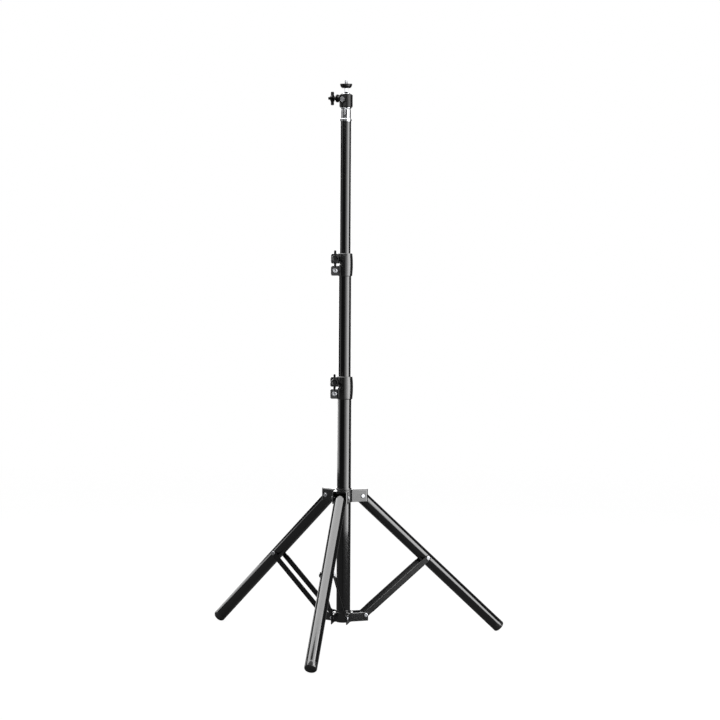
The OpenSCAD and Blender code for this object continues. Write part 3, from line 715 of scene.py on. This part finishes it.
# %% Bolt
EARS_ACROSS = 14
BOLT_HEAD_R, BOLT_HEAD_H, SOCKET_DEPTH, SOCKET_WIDER = 4.5, 3.0, 1.6, 2.3 / 2.2
NUT_R, NUT_T, NUT_CHAMFER, SHANK_R = 4.5, 4.0, 0.4, 2.5
DOME_STARTS_BELOW = 0.9
# Each ring of the domed head: how far up, and what share of its radius is left
DOME_RINGS = [(0.5, 0.93), (0.28, 0.84), (0.12, 0.76)]

bolt = begin(bpy.ops.mesh.primitive_cylinder_add, vertices=24, radius=BOLT_HEAD_R * MM,
             depth=BOLT_HEAD_H * MM, location=(0, 0, BOLT_HEAD_H / 2 * MM))
choose(lambda at, normal: normal.z > 0.99)
bpy.ops.transform.translate(value=(0, 0, -DOME_STARTS_BELOW * MM))
for rise, left in DOME_RINGS:
    extrude(z=rise)
    stretch(x=left, y=left)
inset(0.5, depth=-0.1)
stretch(x=SOCKET_WIDER, y=SOCKET_WIDER)
extrude(z=-SOCKET_DEPTH)
choose(lambda at, normal: normal.z < -0.99 and abs(at.x) < 1)
inset(BOLT_HEAD_R - SHANK_R)
extrude(z=-EARS_ACROSS - NUT_T)
close(rounding=0.2)
bpy.ops.object.shade_smooth_by_angle(angle=SMOOTH_TO)

# %% Nut
nut = begin(bpy.ops.mesh.primitive_cylinder_add, vertices=6, radius=NUT_R * MM,
            depth=(NUT_T - 2 * NUT_CHAMFER) * MM, location=(0, 0, -(EARS_ACROSS + NUT_T / 2) * MM))
for end in (-1, 1):
    choose(lambda at, normal: normal.z * end > 0.99)
    extrude(z=end * NUT_CHAMFER)
    stretch(x=0.9, y=0.9)
close(rounding=0.15)
print("The pinch bolt and its nut are", size_of(join(bolt, nut)), "mm")

# %% Place the pinch bolts
for name, body in CLAMPS.items():
    place = joint_frame(name + "_knob_turn", UPRIGHT)
    place.translation.z = middle(name + "_clamp_bolt").z
    put(twin(bolt), name + "_pinch_bolt", place, body, "bright_steel", [name + "_clamp_bolt"])
bpy.data.objects.remove(bolt)

# %% [markdown]
# ## The lobed lock knob
# The knob of the ball head is one turned and milled piece: a flange that meets the housing, a short neck,
# and a plate with four round lobes. It starts as the flange, and the rest is drawn out of its outer face.
# The lobes come from a plate of their own whose sides are drawn out in four directions and rounded.

# %% Lobed knob
FLANGE_R, FLANGE_T, LOBE_NECK_R = 7.1, 2.2, 3.2
PLATE_FROM, PLATE_T, PLATE_R, LOBE_OUT, LOBE_WAIST = 9.5, 4.0, 6.4, 12.2, 3.0
FLANGE_RIM, FLANGE_RISE = 1.2, 0.5

flange = begin(bpy.ops.mesh.primitive_cylinder_add, vertices=32, radius=FLANGE_R * MM,
               depth=FLANGE_T * MM, location=(0, 0, FLANGE_T / 2 * MM))
choose(lambda at, normal: normal.z > 0.99)
inset(FLANGE_RIM)
inset(FLANGE_R - FLANGE_RIM - LOBE_NECK_R, depth=FLANGE_RISE)
extrude(z=PLATE_FROM - FLANGE_T - 0.2)
close(rounding=0.3)
bpy.ops.object.shade_smooth_by_angle(angle=SMOOTH_TO)
print("The flange and its neck are", size_of(flange), "mm")

# %% Four lobes
lobes = begin(bpy.ops.mesh.primitive_cylinder_add, vertices=16, radius=PLATE_R * MM, depth=PLATE_T * MM,
              location=(0, 0, (PLATE_FROM + PLATE_T / 2) * MM))
middle_z = PLATE_FROM + PLATE_T / 2
for quarter in range(4):
    toward = Vector((cos(quarter * pi / 2), sin(quarter * pi / 2), 0))
    choose(lambda at, normal: normal.dot(toward) > 0.9 and at.dot(toward) > PLATE_R * 0.9)
    for reach, width in ((LOBE_WAIST, 1.15), (LOBE_OUT - PLATE_R - LOBE_WAIST, 0.75)):
        extrude(*(toward * reach))
        about = toward * (PLATE_R + reach)
        sideways = [1 + (width - 1) * (1 - abs(part)) for part in toward.xy]
        stretch(x=sideways[0], y=sideways[1], about=(about.x, about.y, middle_z))
choose(lambda at, normal: normal.z > 0.99 and at.xy.length < 1)
inset(1.2)
inset(0.6, depth=1.2)
inset(1.4, depth=0.4)
close(rounding=0.5)
apply_modifier(lobes, "SUBSURF", levels=2, render_levels=2)
bpy.ops.object.shade_smooth_by_angle(angle=SMOOTH_SKIN_TO)
print("The lobes are", size_of(lobes), "mm")

# %% Place the lobed knob
LOCK_SCREW_FROM, LOCK_SCREW_TO = -6.6, 1.5
at_lock = joint_frame("ball_knob_turn", UPRIGHT)
put(join(lobes, flange), "lobed_lock_knob", at_lock, "ball_knob", "knob_plastic", ["ball_lock_knob"])
threaded_screw("lock_knob_screw", KNOB_SCREW_R, KNOB_SCREW_PITCH, LOCK_SCREW_FROM, LOCK_SCREW_TO, at_lock,
               "ball_knob")

# %% [markdown]
# ## Foot caps
# A cap closes the end of each leg, with a plug that reaches up inside the tube. Its edge is rounded, and the
# rubber face it stands on has two moulded rings. It is modelled along +Z in the leg's frame, with the end
# face up, and each leg gets a copy. The leg's length and its lean are two sizes that no box gives, so they
# are stated here.

# %% Foot cap
CAP_R, CAP_LEN, CAP_EDGE, EDGE_STEPS = 11, 12, 2.5, 4
PLUG_R, PLUG_LEN = 9.95, 16
LEG_LEN, LEG_SPREAD = 374.5, radians(47.2)


def edge_radius(turn):
    """Radius of the cap where its rounded edge has turned this far."""
    return CAP_R - CAP_EDGE * (1 - cos(turn))


cap = begin(bpy.ops.mesh.primitive_cylinder_add, vertices=48, radius=CAP_R * MM,
            depth=(CAP_LEN - CAP_EDGE) * MM, location=(0, 0, (CAP_LEN - CAP_EDGE) / 2 * MM))
choose(lambda at, normal: normal.z > 0.99)
for step in range(EDGE_STEPS):
    before, after = step * pi / 2 / EDGE_STEPS, (step + 1) * pi / 2 / EDGE_STEPS
    extrude(z=CAP_EDGE * (sin(after) - sin(before)))
    narrower = edge_radius(after) / edge_radius(before)
    stretch(x=narrower, y=narrower)
for flat, step_down in ((1.0, 0.5), (2.0, -0.5), (0.8, 0.5)):
    inset(flat)
    inset(0.5, depth=-step_down)
choose(lambda at, normal: normal.z < -0.99)
extrude(z=-PLUG_LEN)
stretch(x=PLUG_R / CAP_R, y=PLUG_R / CAP_R)
close()
bpy.ops.object.shade_smooth_by_angle(angle=SMOOTH_SKIN_TO)
print("The foot cap and its plug are", size_of(cap), "mm")

# %% Place the foot caps
for step, leg in enumerate(LEGS):
    outward = Matrix.Rotation(step * 2 * pi / len(LEGS), 4, "Z")
    pin = Matrix.Translation(joints[leg + "_leg_swing"]["pos_m"])
    down = Matrix.Rotation(pi - LEG_SPREAD, 4, "X")
    along = Matrix.Translation((0, 0, (LEG_LEN - CAP_LEN) * MM))
    put(twin(cap), leg + "_foot_cap", pin @ outward @ down @ along, leg + "_leg", "foot_rubber",
        [leg + "_foot"])
bpy.data.objects.remove(cap)
print("The cap's end lies", LEG_LEN, "mm down the leg from its pin")
